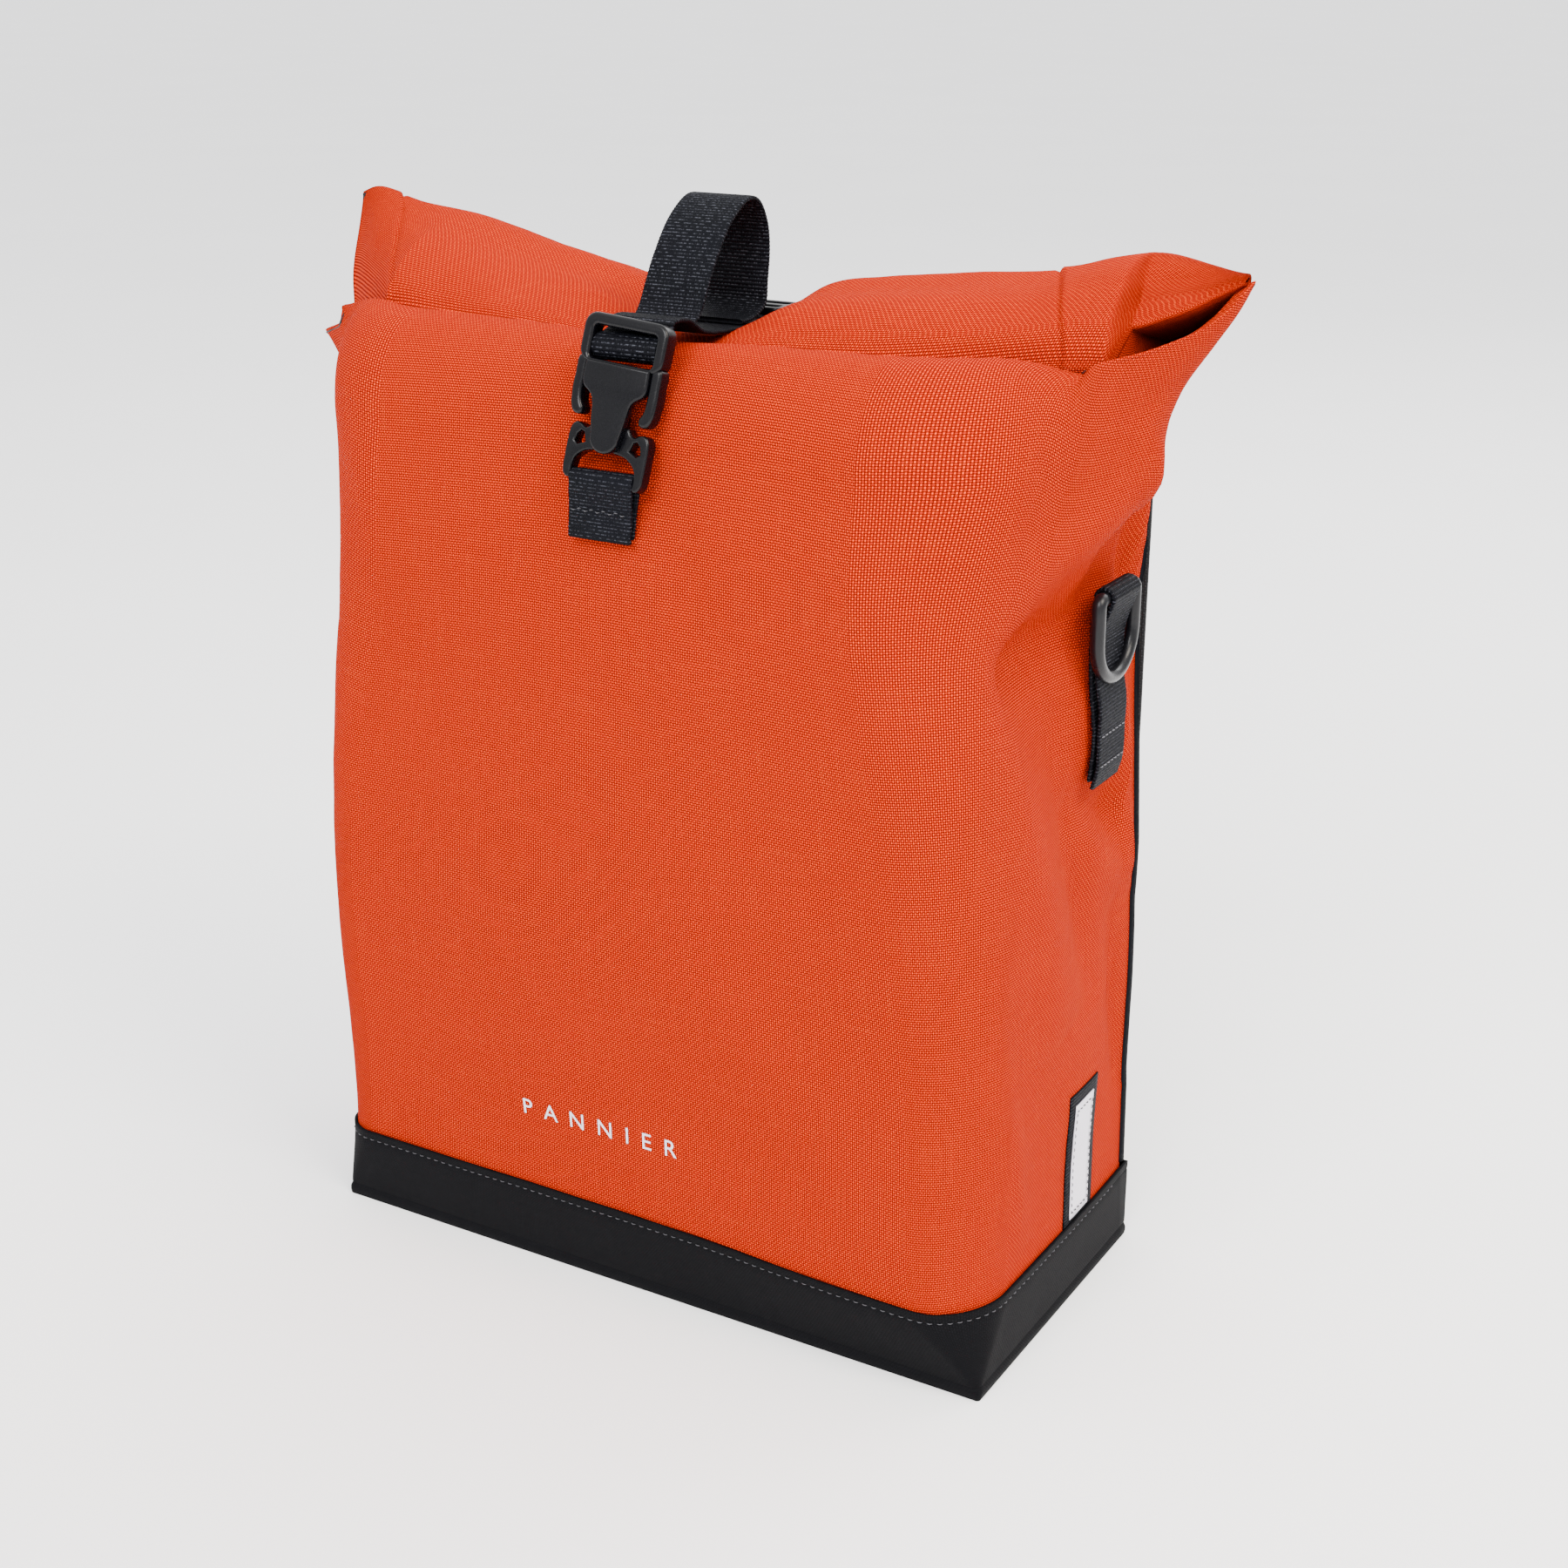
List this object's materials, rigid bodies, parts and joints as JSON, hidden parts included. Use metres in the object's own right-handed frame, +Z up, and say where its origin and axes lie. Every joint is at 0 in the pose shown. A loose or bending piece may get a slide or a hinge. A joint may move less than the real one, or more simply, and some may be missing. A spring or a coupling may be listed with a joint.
{
  "type": "pannier bag",
  "caption": "Roll-top bicycle pannier bag in heavy woven fabric, with a strap and side-release buckle, side rings, locking rack hooks and a swivelling lower anchor.",
  "frame": {"origin": "centre of the base, on the surface that the bag stands on", "axes": "+Z up along the height, front of the bag towards -Y, rack side towards +Y, +X to the right as seen from the front"},
  "size_m": [0.364, 0.1911, 0.3976],
  "materials": {
    "shell_fabric": "heavy plain-weave nylon, orange",
    "back_fabric": "black ballistic weave",
    "base_fabric": "tight matte black weave",
    "liner_fabric": "coated light grey lining",
    "webbing": "ribbed black nylon webbing",
    "buckle_plastic": "satin black acetal",
    "dring_plastic": "satin dark grey acetal",
    "reflective": "silver retroreflective tape",
    "reflector_trim": "black binding tape",
    "hdpe": "black sheet plastic",
    "aluminium": "satin anodised",
    "nylon_black": "glass-filled nylon",
    "lever_plastic": "orange nylon",
    "steel": "stainless",
    "rubber": "grey rubber liner"
  },
  "bodies": {
    "bag": {"front_shell": "shell_fabric", "back_panel": "back_fabric", "base_band": "base_fabric", "base_panel": "base_fabric", "base_board": "hdpe", "back_stiffener": "hdpe", "liner": "liner_fabric", "front_tab": "webbing", "buckle_socket": "buckle_plastic", "strap_anchor": "webbing", "reflector_left": "reflective", "reflector_right": "reflective", "reflector_trim_left": "reflector_trim", "reflector_trim_right": "reflector_trim", "dring_tab_left": "webbing", "dring_tab_right": "webbing", "upper_rail": "aluminium", "lower_rail": "aluminium", "rail_end_caps": "nylon_black", "rail_screws": "steel", "rail_nuts": "steel"},
    "roll": {"roll_top": "shell_fabric", "hem_stiffener": "hdpe"},
    "strap": {"closure_strap": "webbing", "handle_loop": "webbing", "strap_slider": "buckle_plastic", "buckle_plug": "buckle_plastic"},
    "arm_left": {"buckle_arm_left": "buckle_plastic"},
    "arm_right": {"buckle_arm_right": "buckle_plastic"},
    "ring_left": {"dring_left": "dring_plastic"},
    "ring_right": {"dring_right": "dring_plastic"},
    "rack_hook_left": {"hook_left": "nylon_black", "hook_liner_left": "rubber", "hook_screws_left": "steel", "t_nut_left": "steel", "cam_pin_left": "steel", "cam_spring_left": "steel"},
    "rack_hook_right": {"hook_right": "nylon_black", "hook_liner_right": "rubber", "hook_screws_right": "steel", "t_nut_right": "steel", "cam_pin_right": "steel", "cam_spring_right": "steel"},
    "lever_left": {"cam_lever_left": "lever_plastic"},
    "lever_right": {"cam_lever_right": "lever_plastic"},
    "carriage": {"anchor_carriage": "nylon_black", "anchor_bolt": "steel", "anchor_nut": "steel"},
    "anchor": {"anchor_hook": "nylon_black"}
  },
  "joints": [
    {"name": "roll_open", "type": "hinge", "parent": "bag", "child": "roll", "pos_m": [0, 0.0605, 0.344], "axis": [-1, 0, 0], "range_deg": [0, 90]},
    {"name": "strap_lift", "type": "hinge", "parent": "bag", "child": "strap", "pos_m": [0, 0.0605, 0.344], "axis": [-1, 0, 0], "range_deg": [0, 120]},
    {"name": "squeeze_left", "type": "hinge", "parent": "strap", "child": "arm_left", "pos_m": [-0.0156, -0.0688, 0.3476], "axis": [0, -0.9636, 0.2672], "range_deg": [0, 4], "stiffness_Nm_per_rad": 0.3},
    {"name": "squeeze_right", "type": "hinge", "parent": "strap", "child": "arm_right", "pos_m": [0.0156, -0.0688, 0.3476], "axis": [0, 0.9636, -0.2672], "range_deg": [0, 4], "stiffness_Nm_per_rad": 0.3},
    {"name": "ring_swing_left", "type": "hinge", "parent": "bag", "child": "ring_left", "pos_m": [-0.1421, 0.024, 0.272], "axis": [0, 1, 0], "range_deg": [0, 150]},
    {"name": "ring_swing_right", "type": "hinge", "parent": "bag", "child": "ring_right", "pos_m": [0.1421, 0.024, 0.272], "axis": [0, -1, 0], "range_deg": [0, 150]},
    {"name": "hook_slide_left", "type": "slide", "parent": "bag", "child": "rack_hook_left", "axis": [1, 0, 0], "range_m": [-0.015, 0.025]},
    {"name": "hook_slide_right", "type": "slide", "parent": "bag", "child": "rack_hook_right", "axis": [-1, 0, 0], "range_m": [-0.015, 0.025]},
    {"name": "lever_open_left", "type": "hinge", "parent": "rack_hook_left", "child": "lever_left", "pos_m": [-0.085, 0.0807, 0.296], "axis": [-1, 0, 0], "range_deg": [0, 70], "stiffness_Nm_per_rad": 0.02, "springref_deg": -11.46},
    {"name": "lever_open_right", "type": "hinge", "parent": "rack_hook_right", "child": "lever_right", "pos_m": [0.085, 0.0807, 0.296], "axis": [-1, 0, 0], "range_deg": [0, 70], "stiffness_Nm_per_rad": 0.02, "springref_deg": -11.46},
    {"name": "anchor_slide", "type": "slide", "parent": "bag", "child": "carriage", "axis": [1, 0, 0], "range_m": [-0.04, 0.04]},
    {"name": "anchor_swivel", "type": "hinge", "parent": "carriage", "child": "anchor", "pos_m": [0, 0.0796, 0.095], "axis": [0, 1, 0], "range_deg": [-90, 90]}
  ],
  "couplings": [
    {"joint": "strap_lift", "follows": "roll_open", "ratio": 1.3333},
    {"joint": "squeeze_right", "follows": "squeeze_left", "ratio": 1}
  ]
}
